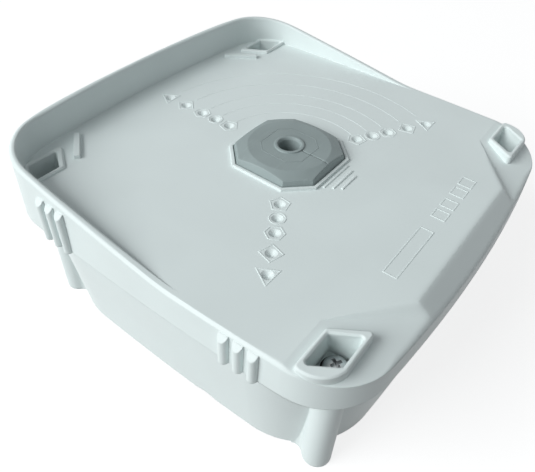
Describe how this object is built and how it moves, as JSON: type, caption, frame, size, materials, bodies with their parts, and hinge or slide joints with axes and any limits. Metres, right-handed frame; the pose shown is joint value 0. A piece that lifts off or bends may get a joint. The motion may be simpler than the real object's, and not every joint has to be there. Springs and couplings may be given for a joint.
{
  "type": "camera junction box",
  "caption": "Square surface-mounted junction box for a security camera, with a hooded lid, cable grommet and screw wells.",
  "frame": {"origin": "centre of the flat back, where the box meets the wall", "axes": "+Z out of the wall through the lid, +Y up towards the hood once the box hangs on a wall, +X to the right"},
  "size_m": [0.1218, 0.12, 0.0574],
  "materials": {
    "white_plastic": "fine satin moulding, light draft marks",
    "grey_rubber": "soft matt rubber",
    "black_rubber": "matt foam rubber",
    "zinc_steel": "zinc plated"
  },
  "bodies": {
    "box": {"back_box": "white_plastic"},
    "lid_body": {"lid": "white_plastic", "cable_grommet": "grey_rubber", "lid_seal": "black_rubber", "screw_washer_lower_left": "black_rubber", "screw_washer_lower_right": "black_rubber", "screw_washer_upper_left": "black_rubber", "screw_washer_upper_right": "black_rubber"},
    "screw_lower_left": {"lid_screw_lower_left": "zinc_steel"},
    "screw_lower_right": {"lid_screw_lower_right": "zinc_steel"},
    "screw_upper_left": {"lid_screw_upper_left": "zinc_steel"},
    "screw_upper_right": {"lid_screw_upper_right": "zinc_steel"}
  },
  "joints": [
    {"name": "lid_lift", "type": "slide", "parent": "box", "child": "lid_body", "axis": [0, 0, 1], "range_m": [0, 0.055]},
    {"name": "screw_turn_lower_left", "type": "hinge", "parent": "lid_body", "child": "screw_lower_left", "pos_m": [-0.0477, -0.0474, 0.0399], "axis": [0, 0, 1], "continuous": true},
    {"name": "screw_turn_lower_right", "type": "hinge", "parent": "lid_body", "child": "screw_lower_right", "pos_m": [0.0477, -0.0474, 0.0399], "axis": [0, 0, 1], "continuous": true},
    {"name": "screw_turn_upper_left", "type": "hinge", "parent": "lid_body", "child": "screw_upper_left", "pos_m": [-0.0477, 0.0474, 0.0399], "axis": [0, 0, 1], "continuous": true},
    {"name": "screw_turn_upper_right", "type": "hinge", "parent": "lid_body", "child": "screw_upper_right", "pos_m": [0.0477, 0.0474, 0.0399], "axis": [0, 0, 1], "continuous": true}
  ]
}
